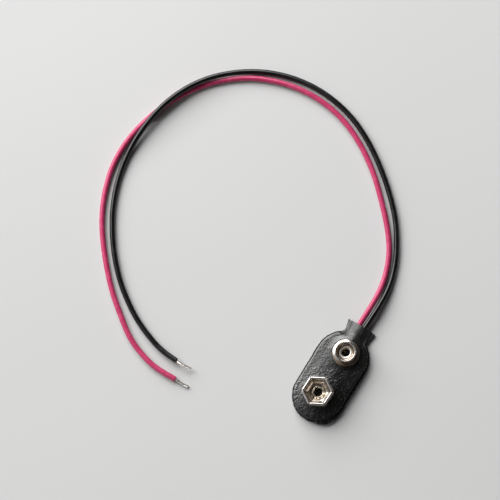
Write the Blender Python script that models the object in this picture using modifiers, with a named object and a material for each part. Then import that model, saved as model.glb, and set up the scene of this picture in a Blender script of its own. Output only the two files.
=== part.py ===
# Battery snap connector: a flexible vinyl cover holding a round stud and a six-petal socket, with two
# free leads. Metres, +Z up; the underside lies on z = 0 and the leads leave the cover along +Y.
import math

import bmesh
import bpy
import numpy as np
from mathutils import Matrix, Vector

MM = 0.001

# Snap contacts: the spacing is the standard half inch of this kind of battery
PITCH = 12.7 * MM
CONTACT_SKEW = math.radians(3.4)      # the contacts' line sits this much off the cover's own axis
CONTACT_SHIFT = 0.9 * MM              # their midpoint, from the straight sides' middle towards the neck

# Cover
BODY_WIDTH = 14.5 * MM
SIDE_STEP = 1.0 * MM                  # how much shorter than the contacts' spacing the straight sides are
NECK_WIDTH = 7.1 * MM
NECK_LENGTH = 2.8 * MM                # flared part, from the waist to the mouth
NECK_FILLET = 1.2 * MM
MOUTH_WIDTH = 8.2 * MM
SHEET = 0.5 * MM
LEDGE = 0.45 * MM                     # width of the welded rim round the raised part
WALL_FOOT = 0.1 * MM                  # bend where the wall rises from the rim
WALL_DRAFT = 0.3 * MM                 # how far the raised part's wall leans in
CROWN = 0.15 * MM                     # rise of the roof from its sides to its middle
EDGE_ROUND = SHEET + 0.1 * MM         # round over of the roof's edge, with room for the sheet inside it
HUMP_SPACE = 0.3 * MM                 # extra height over the leads in the neck
HUMP_BLEND = 2.4 * MM                 # length over which the roof runs out into the hump

# Stack inside the cover
SEAT_GAP = 0.1 * MM
TABLE_GAP = 0.03 * MM                 # play under a lead that lies on the table
LEAD_DIAMETER = 1.5 * MM
LEAD_PLAY = 0.4 * MM                  # between the two leads in the neck
RUN_PLAY = 0.35 * MM                  # between the red lead and the cover's side wall
BOARD_THICKNESS = 0.5 * MM
BOARD_MARGIN = 3.35 * MM              # from the cover's cut edge to the board
LUG_THICKNESS = 0.3 * MM
LUG_RADIUS = 2.3 * MM
LUG_ROOM = 0.6 * MM                   # the tabs end this far short of the lead's run along the wall
LUG_TAB_WIDTH = 1.6 * MM
STUD_TAB = math.radians(83)           # the way each lug's tab points, from the contact's own X
SOCKET_TAB = math.radians(159)
CORE_DIAMETER = 0.7 * MM
SOLDER_MARGIN = 0.2 * MM              # bare tab left at each end of the solder
SOLDER_WIDTH = 1.3 * MM
SOLDER_HEIGHT = 0.9 * MM

# Contacts and rivets
METAL = 0.25 * MM
RIVET_METAL = 0.18 * MM
RIVET_BORE = 1.12 * MM                # radius
HEAD_ROLL = 0.44 * MM                 # how far the rolled head stands out from the tube
CLINCH_FLANGE = 0.65 * MM             # how far the clinched foot stands out from it
BORE_CLEARANCE = 0.15 * MM
STUD_HEIGHT = 2.95 * MM
STUD_BULGE = 2.86 * MM                # largest radius of the snap's wall
STUD_OPENING = 2.12 * MM              # radius of the bowl
STUD_NECK = 2.5 * MM
STUD_FOOT = 3.58 * MM
BOWL_DEPTH = 1.6 * MM
SOCKET_HEIGHT = 3.1 * MM
SOCKET_LIP = 3.7 * MM                 # half the width across the flats, over the rolled lips
SOCKET_WAIST = 2.8 * MM
SOCKET_BASE = 3.65 * MM
LIP_ROLL = 0.28 * MM
PETAL_SLIT = 0.25 * MM
PETAL_ROOT = 0.4 * MM                 # height over the socket's foot where the slits begin
SOCKET_TURN = math.radians(91.6)      # a corner points nearly along the contacts' line
HEAD_SPLIT = 0.22 * MM                # width of the notches in the socket rivet's head
HEAD_SPLIT_COUNT = 5

# Heights of the stack, from the table up
LEAD_Z = SHEET + SEAT_GAP + LEAD_DIAMETER / 2
LEAD_REST_Z = LEAD_DIAMETER / 2 + TABLE_GAP
LEDGE_TOP = SHEET + SEAT_GAP + SHEET
BOARD_BOTTOM = SHEET + SEAT_GAP + LEAD_DIAMETER + SEAT_GAP
BOARD_TOP = BOARD_BOTTOM + BOARD_THICKNESS
ROOF_EDGE = BOARD_TOP + SEAT_GAP + SHEET
ROOF_TOP = ROOF_EDGE + CROWN
NECK_TOP = SHEET + SEAT_GAP + LEAD_DIAMETER + SEAT_GAP + SHEET + HUMP_SPACE
CONTACT_BASE = ROOF_TOP + SEAT_GAP
LUG_TOP = BOARD_BOTTOM - SEAT_GAP
LUG_BOTTOM = LUG_TOP - LUG_THICKNESS

# Plan sizes that follow from the others
RIVET_TUBE = RIVET_BORE + RIVET_METAL
RIVET_HOLE = RIVET_TUBE + BORE_CLEARANCE
RIVET_HEAD = RIVET_TUBE + HEAD_ROLL
RIVET_CLINCH = RIVET_TUBE + CLINCH_FLANGE
BOARD_WIDTH = BODY_WIDTH - 2 * BOARD_MARGIN
LEAD_LANE = (LEAD_DIAMETER + LEAD_PLAY) / 2
LEAD_RUN = BODY_WIDTH / 2 - LEDGE - WALL_DRAFT - SHEET - RUN_PLAY - LEAD_DIAMETER / 2
LUG_REACH = LEAD_RUN - LUG_ROOM
SOLDER_START = RIVET_CLINCH + SOLDER_MARGIN
SOLDER_LENGTH = LUG_REACH - SOLDER_MARGIN - SOLDER_START
HUMP_FLAT = LEAD_LANE + LEAD_DIAMETER / 4
HUMP_BASE = NECK_WIDTH / 2 - LEDGE

# Cover outline: a round foot, straight sides, a round shoulder, a fillet at the waist and a flared neck
SIDE_LENGTH = PITCH - SIDE_STEP
END_RADIUS = BODY_WIDTH / 2
FILLET_X = NECK_WIDTH / 2 + NECK_FILLET
WAIST_RISE = math.sqrt((END_RADIUS + NECK_FILLET) ** 2 - FILLET_X ** 2)
MOUTH_Y = (END_RADIUS + SIDE_LENGTH + WAIST_RISE + NECK_LENGTH) / 2
WAIST_Y = MOUTH_Y - NECK_LENGTH
SHOULDER_CENTRE = WAIST_Y - WAIST_RISE
FOOT_CENTRE = SHOULDER_CENTRE - SIDE_LENGTH
SHOULDER_ANGLE = math.degrees(math.atan2(WAIST_RISE, FILLET_X))

# The leads' routes, chosen by hand from where they lie. Inside the cover: how far over from the lead's
# lane in the neck to the side wall, and how far up from the shoulder's centre to the waist, as shares.
RED_INSIDE = [
    (1, -1.17), (1, -0.65), (0.99, -0.3), (0.87, 0.06), (0.65, 0.35), (0.37, 0.6), (0.11, 0.83),
    (0, 1.05), (-0.04, 1.28),
]
BLACK_INSIDE = [
    (0.01, 0.92), (0, 1.09), (0, 1.28),
]
# Outside: millimetres from the mouth's middle, with the lift off the table in lead diameters
RED_OUTSIDE = [
    (-0.7, 1.63, 0.48), (-0.65, 4.63, 0.55), (-0.75, 8.13, 0.38), (-1.1, 11.63, 0.15),
    (-1.9, 15.13, 0.01), (-4, 20.33, 0), (-7.4, 25.33, 0), (-14.6, 32.93, 0), (-20.2, 37.83, 0),
    (-26.4, 41.93, 0), (-33.3, 45.03, 0), (-40.6, 46.53, 0), (-48.1, 46.43, 0), (-55.4, 44.73, 0),
    (-62.2, 41.63, 0), (-68.1, 37.13, 0), (-73, 31.53, 0), (-76.7, 25.03, 0), (-79.3, 18.03, 0),
    (-80.7, 10.63, 0), (-80.5, 3.13, 0), (-78.6, -4.07, 0), (-75.4, -10.87, 0), (-71.1, -16.97, 0),
    (-63.5, -25.27, 0), (-57.1, -30.57, 0), (-50.4, -35.07, 0), (-42.9, -37.57, 0), (-38.8, -37.87, 0),
    (-34.9, -37.77, 0),
]
BLACK_OUTSIDE = [
    (1.05, 1.63, 0.51), (1.15, 4.63, 0.65), (1.1, 8.13, 0.55), (0.8, 11.63, 0.28), (0, 15.43, 0.05),
    (-2.2, 21.03, 0), (-7.1, 28.73, 0), (-12.3, 34.23, 0), (-18, 39.03, 0), (-24.2, 43.23, 0),
    (-30.9, 46.53, 0), (-38.2, 48.43, 0), (-45.7, 48.83, 0), (-53.1, 47.63, 0.01), (-60, 44.93, 0.11),
    (-66.2, 40.73, 0.45), (-71.4, 35.33, 0.88), (-75.2, 29.03, 1.11), (-77.6, 22.03, 1.15),
    (-78.7, 14.63, 0.78), (-78.6, 7.23, 0.21), (-77.1, -0.07, 0), (-74.3, -7.07, 0), (-70.4, -13.47, 0),
    (-65.7, -19.27, 0), (-60.2, -24.37, 0), (-52.7, -29.27, 0), (-45.3, -32.27, 0.05),
    (-41.3, -33.17, 0.18), (-37.2, -33.47, 0.35),
]
# Bare tips, as steps from each lead's end
RED_TIP = [(1.5, -0.1, -0.16), (2.8, -0.05, -0.28), (4.0, 0.1, -0.33)]
BLACK_TIP = [(1.6, -0.05, 0.1), (3.0, 0, 0.1), (4.5, 0.15, 0)]
LEAD_POINT_COUNT = 72


def start_empty():
    for obj in list(bpy.data.objects):
        bpy.data.objects.remove(obj, do_unlink=True)


def new_collection(name):
    group = bpy.data.collections.new(name)
    bpy.context.scene.collection.children.link(group)
    return group


start_empty()
PARTS = new_collection("battery_snap_connector")
CUTTERS = new_collection("cutters")


def paint(obj, colour, roughness, metallic=0.0):
    """Give the object its own plain material."""
    material = bpy.data.materials.new(obj.name)
    material.use_nodes = True
    surface = material.node_tree.nodes["Principled BSDF"]
    surface.inputs["Base Color"].default_value = (*colour, 1.0)
    surface.inputs["Roughness"].default_value = roughness
    surface.inputs["Metallic"].default_value = metallic
    obj.data.materials.append(material)


def vinyl(obj):
    paint(obj, (0.025, 0.025, 0.027), 0.5)


def nickel(obj):
    paint(obj, (0.78, 0.74, 0.68), 0.22, 1.0)


def tinned_copper(obj):
    paint(obj, (0.72, 0.70, 0.67), 0.35, 1.0)


def add_object(name, data, parent=None, location=(0, 0, 0), group=None):
    obj = bpy.data.objects.new(name, data)
    obj.parent = parent
    obj.location = location
    (group or PARTS).objects.link(obj)
    return obj


def smooth_curve(points, count):
    """Points at even spacing along a smooth curve that passes through the given ones."""
    p = np.array(points, dtype=float)
    ends = np.vstack([2 * p[0] - p[1], p, 2 * p[-1] - p[-2]])
    knots = np.concatenate([[0], np.cumsum(np.linalg.norm(np.diff(ends, axis=0), axis=1) ** 0.5)])
    dense = []
    for i in range(1, len(ends) - 2):
        a, b, c, d = ends[i - 1:i + 3]
        ta, tb, tc, td = knots[i - 1:i + 3]
        for t in np.linspace(tb, tc, 12, endpoint=False):
            ab = (tb - t) / (tb - ta) * a + (t - ta) / (tb - ta) * b
            bc = (tc - t) / (tc - tb) * b + (t - tb) / (tc - tb) * c
            cd = (td - t) / (td - tc) * c + (t - tc) / (td - tc) * d
            abc = (tc - t) / (tc - ta) * ab + (t - ta) / (tc - ta) * bc
            bcd = (td - t) / (td - tb) * bc + (t - tb) / (td - tb) * cd
            dense.append((tc - t) / (tc - tb) * abc + (t - tb) / (tc - tb) * bcd)
    dense.append(p[-1])
    dense = np.array(dense)
    run = np.concatenate([[0], np.cumsum(np.linalg.norm(np.diff(dense, axis=0), axis=1))])
    stations = np.linspace(0, run[-1], count)
    return np.stack([np.interp(stations, run, dense[:, k]) for k in range(p.shape[1])], axis=1)


def tube(name, points, diameter):
    """A round wire along the points, as a curve with filled caps."""
    curve = bpy.data.curves.new(name, "CURVE")
    curve.dimensions = "3D"
    curve.bevel_depth = diameter / 2
    curve.bevel_resolution = 2
    curve.use_fill_caps = True
    spline = curve.splines.new("POLY")
    spline.points.add(len(points) - 1)
    for point, place in zip(spline.points, points):
        point.co = (*place, 1.0)
    return add_object(name, curve)


def plate(name, outlines, bottom, thickness, parent=None, location=(0, 0)):
    """A flat piece cut to the first outline, with the other outlines as holes."""
    curve = bpy.data.curves.new(name, "CURVE")
    curve.dimensions = "2D"
    curve.fill_mode = "BOTH"
    curve.extrude = thickness / 2
    for outline in outlines:
        spline = curve.splines.new("POLY")
        spline.points.add(len(outline) - 1)
        spline.use_cyclic_u = True
        for point, (x, y) in zip(spline.points, outline):
            point.co = (x, y, 0.0, 1.0)
    return add_object(name, curve, parent, (*location, bottom + thickness / 2))


def arc(centre, radius, start, end, count):
    """Points on an arc, from the start to the end angle in degrees."""
    angles = np.radians(np.linspace(start, end, count))
    return [(centre[0] + radius * math.cos(a), centre[1] + radius * math.sin(a)) for a in angles]


def circle(centre, radius, count=28):
    return arc(centre, radius, 0, 360 - 360 / count, count)


def sheet_section(centreline, thickness, count):
    """Closed outline of a bent sheet: the centreline's left side forward, then its right side back."""
    line = smooth_curve(centreline, count)
    step = np.gradient(line, axis=0)
    step /= np.linalg.norm(step, axis=1)[:, None]
    left = np.stack([-step[:, 1], step[:, 0]], axis=1) * thickness / 2
    return np.vstack([line + left, (line - left)[::-1]])


def turned(name, outline, steps, parent=None, location=(0, 0, 0)):
    """Spin a closed outline of (radius, height) points about Z; few steps give a flat-sided piece."""
    mesh = bpy.data.meshes.new(name)
    count = len(outline)
    edges = [(i, (i + 1) % count) for i in range(count)]
    mesh.from_pydata([(r, 0.0, z) for r, z in outline], edges, [])
    obj = add_object(name, mesh, parent, location)
    spin = obj.modifiers.new("Spin", "SCREW")
    spin.axis = "Z"
    spin.angle = math.tau
    spin.steps = steps
    spin.render_steps = steps
    spin.use_merge_vertices = True
    spin.merge_threshold = 0.00001
    spin.use_smooth_shade = steps > 6
    return obj


def cut(obj, cutter, name="Cut"):
    boolean = obj.modifiers.new(name, "BOOLEAN")
    boolean.operation = "DIFFERENCE"
    boolean.solver = "EXACT"
    boolean.object = cutter


def cutter_object(name, mesh, parent=None, location=(0, 0, 0)):
    obj = add_object(name, mesh, parent, location, CUTTERS)
    obj.hide_render = True
    obj.display_type = "WIRE"
    return obj


def cylinder_mesh(name, radius, height, segments=28):
    """A capped cylinder about Z, from z = 0 up."""
    shape = bmesh.new()
    bmesh.ops.create_cone(shape, cap_ends=True, segments=segments, radius1=radius, radius2=radius,
                          depth=height)
    bmesh.ops.translate(shape, verts=shape.verts, vec=(0, 0, height / 2))
    mesh = bpy.data.meshes.new(name)
    shape.to_mesh(mesh)
    shape.free()
    return mesh


def slots_mesh(name, angles, inner, outer, width, bottom, top):
    """Thin radial blades about Z, one for each angle, for slits and notches."""
    shape = bmesh.new()
    for angle in angles:
        blade = bmesh.ops.create_cube(shape, size=1.0)["verts"]
        bmesh.ops.scale(shape, verts=blade, vec=(outer - inner, width, top - bottom))
        bmesh.ops.translate(shape, verts=blade, vec=((inner + outer) / 2, 0, (bottom + top) / 2))
        bmesh.ops.rotate(shape, verts=blade, cent=(0, 0, 0), matrix=Matrix.Rotation(angle, 3, "Z"))
    mesh = bpy.data.meshes.new(name)
    shape.to_mesh(mesh)
    shape.free()
    return mesh


def half_outline(inset):
    """The cover's right half, from the foot's middle up to the mouth, all of it moved in by the inset."""
    radius = END_RADIUS - inset
    foot = arc((0, FOOT_CENTRE), radius, -90, 0, 15)
    side = [(radius, FOOT_CENTRE + SIDE_LENGTH * k / 3) for k in (1, 2)]
    shoulder = arc((0, SHOULDER_CENTRE), radius, 0, SHOULDER_ANGLE, 8)
    fillet = arc((FILLET_X, WAIST_Y), NECK_FILLET + inset, SHOULDER_ANGLE + 180, 180, 5)
    flare = (MOUTH_WIDTH - NECK_WIDTH) / 2
    flared = []
    for k in range(1, 6):
        share = k / 5
        flared.append((NECK_WIDTH / 2 + flare * share ** 2 - inset, WAIST_Y + (MOUTH_Y - WAIST_Y) * share))
    return foot + side + shoulder + fillet[1:] + flared


def full_outline(inset):
    right = half_outline(inset)
    left = [(-x, y) for x, y in reversed(right[1:])]
    return right + left


def ease(value):
    """Smooth step from 0 to 1."""
    t = min(max(value, 0.0), 1.0)
    return t * t * (3 - 2 * t)


def neck_share(y):
    """0 over the contacts, 1 in the neck."""
    return ease((y - WAIST_Y - NECK_FILLET / 4) / HUMP_BLEND + 1)


def hump_height(x):
    """Height of the neck over the two leads, falling to the welded rim on both sides."""
    fall = ease((abs(x) - HUMP_FLAT) / (HUMP_BASE - HUMP_FLAT))
    return NECK_TOP + (LEDGE_TOP - NECK_TOP) * fall


def wall_rings():
    """(inset, height) of the rings from the cut edge over the rim and the wall to the roof's edge."""
    bend = WALL_FOOT / 2
    rings = [(0.0, LEDGE_TOP), (LEDGE - bend, LEDGE_TOP), (LEDGE + bend, LEDGE_TOP + WALL_FOOT)]
    foot = LEDGE + WALL_DRAFT
    for angle in (0, 30, 60, 90):
        turn = math.radians(angle)
        inset = foot + EDGE_ROUND * (1 - math.cos(turn))
        rings.append((inset, ROOF_EDGE - EDGE_ROUND + EDGE_ROUND * math.sin(turn)))
    return rings


def front_sheet_rings():
    """Rows of points over the right half of the formed sheet, from its cut edge in to its middle line."""
    rows = []
    for inset, height in wall_rings():
        ring = []
        for x, y in half_outline(inset):
            share = neck_share(y)
            ring.append(Vector((x, y, height * (1 - share) + hump_height(x) * share)))
        rows.append(ring)
    edge = rows[-1]
    for k in range(1, 5):
        part = k / 4
        ring = []
        for point in edge:
            middle_y = min(max(point.y, FOOT_CENTRE), MOUTH_Y)
            x = point.x * (1 - part)
            y = point.y * (1 - part) + middle_y * part
            roof = ROOF_EDGE + CROWN * (1 - (1 - part) ** 2)
            share = neck_share(y)
            ring.append(Vector((x, y, roof * (1 - share) + hump_height(x) * share)))
        rows.append(ring)
    return rows


def make_front_cover(contacts):
    rows = front_sheet_rings()
    shape = bmesh.new()
    grid = [[shape.verts.new(point) for point in ring] for ring in rows]
    for outer, inner in zip(grid, grid[1:]):
        for k in range(len(outer) - 1):
            shape.faces.new((outer[k], outer[k + 1], inner[k + 1], inner[k]))
    bmesh.ops.remove_doubles(shape, verts=shape.verts, dist=0.00001)
    bmesh.ops.recalc_face_normals(shape, faces=shape.faces)
    mesh = bpy.data.meshes.new("front_cover")
    shape.to_mesh(mesh)
    shape.free()
    cover = add_object("front_cover", mesh)
    mirror = cover.modifiers.new("Mirror", "MIRROR")
    mirror.merge_threshold = 0.00001
    shell = cover.modifiers.new("Thickness", "SOLIDIFY")
    shell.thickness = SHEET
    shell.offset = -1.0
    shell.use_even_offset = True
    for contact in contacts:
        hole = cylinder_mesh("rivet_hole", RIVET_HOLE, 4 * SHEET + CROWN)
        cut(cover, cutter_object("rivet_hole", hole, contact, (0, 0, ROOF_EDGE - 3 * SHEET)), "Rivet hole")
    vinyl(cover)
    return cover


def make_back_cover():
    cover = plate("back_cover", [full_outline(0.0)], 0.0, SHEET)
    vinyl(cover)


def make_board(line):
    """Fibre strip behind both contacts, with a hole for each rivet."""
    half = BOARD_WIDTH / 2
    end = PITCH / 2
    outline = arc((0, end), half, 0, 180, 16) + arc((0, -end), half, 180, 360, 16)
    holes = [circle((0, side * PITCH / 2), RIVET_HOLE) for side in (1, -1)]
    board = plate("carrier_board", [outline] + holes, BOARD_BOTTOM, BOARD_THICKNESS, line)
    paint(board, (0.36, 0.24, 0.13), 0.8)


def make_lug(name, contact, angle):
    """Solder tag: a washer with a tab pointing along the angle."""
    half = LUG_TAB_WIDTH / 2
    spread = math.degrees(math.asin(half / LUG_RADIUS))
    tab_end = LUG_REACH - half
    outline = arc((0, 0), LUG_RADIUS, spread, 360 - spread, 26) + arc((tab_end, 0), half, -90, 90, 8)
    lug = plate(name, [outline, circle((0, 0), RIVET_HOLE)], LUG_BOTTOM, LUG_THICKNESS, contact)
    lug.rotation_euler.z = angle
    paint(lug, (0.80, 0.72, 0.52), 0.35, 1.0)


def make_rivet(name, contact, head_seat):
    """Eyelet: clinched foot under the lug, tube through the stack, rolled head on the contact's floor."""
    tube_line = RIVET_BORE + RIVET_METAL / 2
    foot = LUG_BOTTOM - SEAT_GAP - RIVET_METAL / 2
    head = head_seat + SEAT_GAP / 2
    roll = (RIVET_HEAD - RIVET_METAL / 2 - tube_line) / 2
    bend = RIVET_METAL
    line = [(RIVET_CLINCH, foot), ((RIVET_CLINCH + tube_line + bend) / 2, foot),
            (tube_line + bend, foot), (tube_line, foot + bend), (tube_line, (foot + head) / 2),
            (tube_line, head + RIVET_METAL / 2)]
    for angle in (150, 120, 90, 60, 30, 0):
        turn = math.radians(angle)
        line.append((tube_line + roll + roll * math.cos(turn), head + RIVET_METAL + roll * math.sin(turn)))
    rivet = turned(name, sheet_section(line, RIVET_METAL, 16), 20, contact)
    nickel(rivet)
    return rivet


def make_stud(contact):
    """Male snap: floor and bowl, rolled rim, bulged wall, neck and a dished foot."""
    half = METAL / 2
    floor = STUD_HEIGHT - BOWL_DEPTH - half
    wall = STUD_OPENING + half
    bulge = STUD_BULGE - half
    top = STUD_HEIGHT - half
    line = [(RIVET_HOLE, floor), (wall - 2 * METAL, floor), (wall - 0.8 * METAL, floor + half),
            (wall - 0.2 * METAL, floor + 2 * METAL), (wall, top - 1.8 * METAL),
            (wall + 0.2 * METAL, top - 0.6 * METAL), (wall + 0.8 * METAL, top),
            (bulge - half, top - METAL / 4), (bulge - 0.1 * METAL, top - 1.1 * METAL),
            (bulge, top - 2.5 * METAL), ((bulge + STUD_NECK) / 2, top - 4.4 * METAL),
            (STUD_NECK, 4.6 * METAL), (STUD_NECK, 3 * METAL),
            (STUD_NECK + 0.8 * METAL, 2 * METAL), (STUD_NECK + 2.2 * METAL, 1.7 * METAL),
            (STUD_FOOT - 1.6 * METAL, 1.36 * METAL), (STUD_FOOT - half, half)]
    stud = turned("stud_contact", sheet_section(line, METAL, 26), 28, contact, (0, 0, CONTACT_BASE))
    nickel(stud)
    return floor + half


def make_socket(contact):
    """Female snap: a six-sided drawn cup, slit at its corners into petals with rolled lips."""
    half = METAL / 2
    corner = 1 / math.cos(math.radians(30))
    lip = SOCKET_LIP - half
    roll_z = SOCKET_HEIGHT - half - LIP_ROLL
    rise = roll_z - half
    base = SOCKET_BASE - half
    waist = SOCKET_WAIST + half
    line = [(RIVET_HOLE, half), (base - 5.5 * METAL, half), (base - 2.5 * METAL, half),
            (base - 0.4 * METAL, half + 0.09 * rise), (base, half + 0.23 * rise),
            (waist + 0.7 * METAL, half + 0.45 * rise), (waist, half + 0.62 * rise),
            (waist + 0.4 * METAL, half + 0.8 * rise)]
    for angle in (165, 130, 95, 60, 25, -10):
        turn = math.radians(angle)
        line.append((lip - LIP_ROLL + LIP_ROLL * math.cos(turn), roll_z + LIP_ROLL * math.sin(turn)))
    section = [(r * corner, z) for r, z in sheet_section(line, METAL, 30)]
    socket = turned("socket_contact", section, 6, contact, (0, 0, CONTACT_BASE))
    socket.rotation_euler.z = SOCKET_TURN
    corners = [SOCKET_TURN + math.radians(60 * k) for k in range(6)]
    inner = (SOCKET_WAIST - half) * corner
    outer = (SOCKET_LIP + SOCKET_BASE) * corner
    slits = slots_mesh("petal_slits", corners, inner, outer, PETAL_SLIT, PETAL_ROOT, 2 * SOCKET_HEIGHT)
    cut(socket, cutter_object("petal_slits", slits, contact, (0, 0, CONTACT_BASE)), "Petal slits")
    nickel(socket)
    return METAL


def split_head(rivet, contact, head_seat):
    """Notches where the rolled head has split open."""
    angles = [math.radians(-28 - 360 * k / HEAD_SPLIT_COUNT) for k in range(HEAD_SPLIT_COUNT)]
    reach = (RIVET_HEAD + RIVET_TUBE) / 2
    notches = slots_mesh("head_notches", angles, reach, 2 * RIVET_HEAD, HEAD_SPLIT,
                         head_seat - METAL / 2, head_seat + 3 * METAL)
    cut(rivet, cutter_object("head_notches", notches, contact), "Head notches")


def tab_point(contact, angle, distance):
    """A point under a lug's tab, in the part's frame."""
    local = Vector((distance * math.cos(angle), distance * math.sin(angle), LEAD_Z))
    return contact.matrix_world @ local


def bare_start(end, before):
    """Where a bare end starts: just off the jacket's end face, with the way it heads."""
    away = Vector(end - before).normalized()
    return Vector(end) + away * SEAT_GAP, away


def make_inner_end(colour, contact, angle, jacket):
    """The lead's bare inner end, from its jacket to under the tab, and the solder that holds it."""
    face, away = bare_start(jacket[0], jacket[1])
    near = tab_point(contact, angle, SOLDER_START + SOLDER_LENGTH * 5 / 6)
    end = tab_point(contact, angle, SOLDER_START + SOLDER_LENGTH / 4)
    route = smooth_curve([face, face + away * CORE_DIAMETER / 2, near, end], 12)
    core = tube(f"{colour}_core_inner", route, CORE_DIAMETER)
    tinned_copper(core)
    along = end - near
    middle = tab_point(contact, angle, SOLDER_START + SOLDER_LENGTH / 2)
    shape = bmesh.new()
    bmesh.ops.create_uvsphere(shape, u_segments=16, v_segments=10, radius=0.5)
    size = Matrix.Diagonal((SOLDER_LENGTH, SOLDER_WIDTH, SOLDER_HEIGHT, 1.0))
    heading = Matrix.Rotation(math.atan2(along.y, along.x), 4, "Z")
    place = Matrix.Translation((middle.x, middle.y, LUG_BOTTOM - (SEAT_GAP + SOLDER_HEIGHT) / 2))
    bmesh.ops.transform(shape, matrix=place @ heading @ size, verts=shape.verts)
    mesh = bpy.data.meshes.new(f"{colour}_solder")
    shape.to_mesh(mesh)
    shape.free()
    solder = add_object(f"{colour}_solder", mesh)
    bore = tube(f"{colour}_bore_line", route, CORE_DIAMETER + SEAT_GAP)
    cut(solder, as_cutter(bore), "Core bore")
    paint(solder, (0.75, 0.76, 0.78), 0.3, 1.0)


def as_cutter(curve_object):
    """Turn a tube into a closed mesh that can cut, and drop the curve."""
    bpy.context.view_layer.update()
    evaluated = curve_object.evaluated_get(bpy.context.evaluated_depsgraph_get())
    mesh = bpy.data.meshes.new_from_object(evaluated)
    shape = bmesh.new()
    shape.from_mesh(mesh)
    bmesh.ops.remove_doubles(shape, verts=shape.verts, dist=0.000001)
    bmesh.ops.recalc_face_normals(shape, faces=shape.faces)
    shape.to_mesh(mesh)
    shape.free()
    name = curve_object.name
    place = curve_object.matrix_world.copy()
    bpy.data.objects.remove(curve_object, do_unlink=True)
    cutter = cutter_object(name, mesh)
    cutter.matrix_world = place
    return cutter


def lead_points(inside, outside, side):
    """A lead's route in metres: level in its bed inside the cover, then lifted off the table or on it."""
    bed = []
    for over, up in inside:
        x = side * (LEAD_LANE + over * (LEAD_RUN - LEAD_LANE))
        bed.append((x, SHOULDER_CENTRE + up * WAIST_RISE, LEAD_Z))
    loose = [(x * MM, MOUTH_Y + y * MM, LEAD_REST_Z + lift * LEAD_DIAMETER) for x, y, lift in outside]
    return smooth_curve(bed + loose, LEAD_POINT_COUNT)


def make_lead(name, points, colour):
    lead = tube(name, points, LEAD_DIAMETER)
    paint(lead, colour, 0.4)


def make_tip(name, points, steps):
    """Bare stripped end of a lead."""
    face, _ = bare_start(points[-1], points[-2])
    route = [face] + [Vector(points[-1]) + Vector(step) * MM for step in steps]
    tip = tube(name, smooth_curve(route, 8), CORE_DIAMETER)
    tinned_copper(tip)


def make_connector():
    middle = (FOOT_CENTRE + SHOULDER_CENTRE) / 2
    line = add_object("contact_line", None, None, (0, middle + CONTACT_SHIFT, 0))
    line.rotation_euler.z = -CONTACT_SKEW
    stud_place = add_object("stud_place", None, line, (0, PITCH / 2, 0))
    socket_place = add_object("socket_place", None, line, (0, -PITCH / 2, 0))
    bpy.context.view_layer.update()

    make_front_cover((stud_place, socket_place))
    make_back_cover()
    make_board(line)

    stud_floor = CONTACT_BASE + make_stud(stud_place)
    make_rivet("stud_rivet", stud_place, stud_floor)
    socket_floor = CONTACT_BASE + make_socket(socket_place)
    socket_rivet = make_rivet("socket_rivet", socket_place, socket_floor)
    split_head(socket_rivet, socket_place, socket_floor)

    red = lead_points(RED_INSIDE, RED_OUTSIDE, -1)
    black = lead_points(BLACK_INSIDE, BLACK_OUTSIDE, 1)
    make_lug("stud_lug", stud_place, STUD_TAB)
    make_lug("socket_lug", socket_place, SOCKET_TAB)
    make_inner_end("red", socket_place, SOCKET_TAB, red)
    make_inner_end("black", stud_place, STUD_TAB, black)

    make_lead("red_lead", red, (0.72, 0.09, 0.20))
    make_lead("black_lead", black, (0.02, 0.02, 0.022))
    make_tip("red_core_tip", red, RED_TIP)
    make_tip("black_core_tip", black, BLACK_TIP)


make_connector()
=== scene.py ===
import math

import bmesh
import bpy
import numpy as np
from mathutils import Matrix, Vector


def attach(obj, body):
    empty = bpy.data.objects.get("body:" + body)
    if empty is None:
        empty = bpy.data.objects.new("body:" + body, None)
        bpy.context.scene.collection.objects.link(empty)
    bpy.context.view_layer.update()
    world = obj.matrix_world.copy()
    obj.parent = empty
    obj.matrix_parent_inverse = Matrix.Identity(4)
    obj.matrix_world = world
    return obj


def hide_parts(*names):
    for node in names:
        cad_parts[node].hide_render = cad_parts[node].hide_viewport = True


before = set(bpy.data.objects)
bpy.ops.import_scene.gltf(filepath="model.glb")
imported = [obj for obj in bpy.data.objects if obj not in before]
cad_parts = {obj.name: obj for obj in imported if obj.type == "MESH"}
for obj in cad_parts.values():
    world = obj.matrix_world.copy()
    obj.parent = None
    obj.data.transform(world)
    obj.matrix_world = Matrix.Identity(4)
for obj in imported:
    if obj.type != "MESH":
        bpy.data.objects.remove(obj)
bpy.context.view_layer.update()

MM = 0.001

# Camera, table and light. The camera stands 70 cm off, 11 degrees from straight above, and is turned so that
# the cover leans to the upper right. One wide soft lamp stands to the upper left of the picture, over a plain
# pale table, and the dim surroundings glow softly on the left.
camera_place = Vector((0.075858, -0.055626, 0.687139))
camera_aim = Vector((-0.036515, 0.016570, 0.0))
picture_right = Vector((0.855119, 0.518432, 0.0))
look = (camera_aim - camera_place).normalized()
right = (picture_right - look * picture_right.dot(look)).normalized()
up = right.cross(look)
camera_data = bpy.data.cameras.new("photo_camera")
camera_data.lens = 188.26
camera_data.sensor_width = 36.0
camera_data.clip_start = 0.01
camera_data.clip_end = 20.0
camera = bpy.data.objects.new("photo_camera", camera_data)
camera.matrix_world = Matrix.Translation(camera_place) @ Matrix((right, up, -look)).transposed().to_4x4()
bpy.context.scene.collection.objects.link(camera)
bpy.context.scene.camera = camera
bpy.context.scene.view_settings.view_transform = "Standard"


def feed(tree, node, sources):
    """Set a node's inputs, by name or number, to plain values or to the outputs of other nodes."""
    for key, source in sources.items():
        if isinstance(source, bpy.types.NodeSocket):
            tree.links.new(source, node.inputs[key])
        else:
            node.inputs[key].default_value = source


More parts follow.
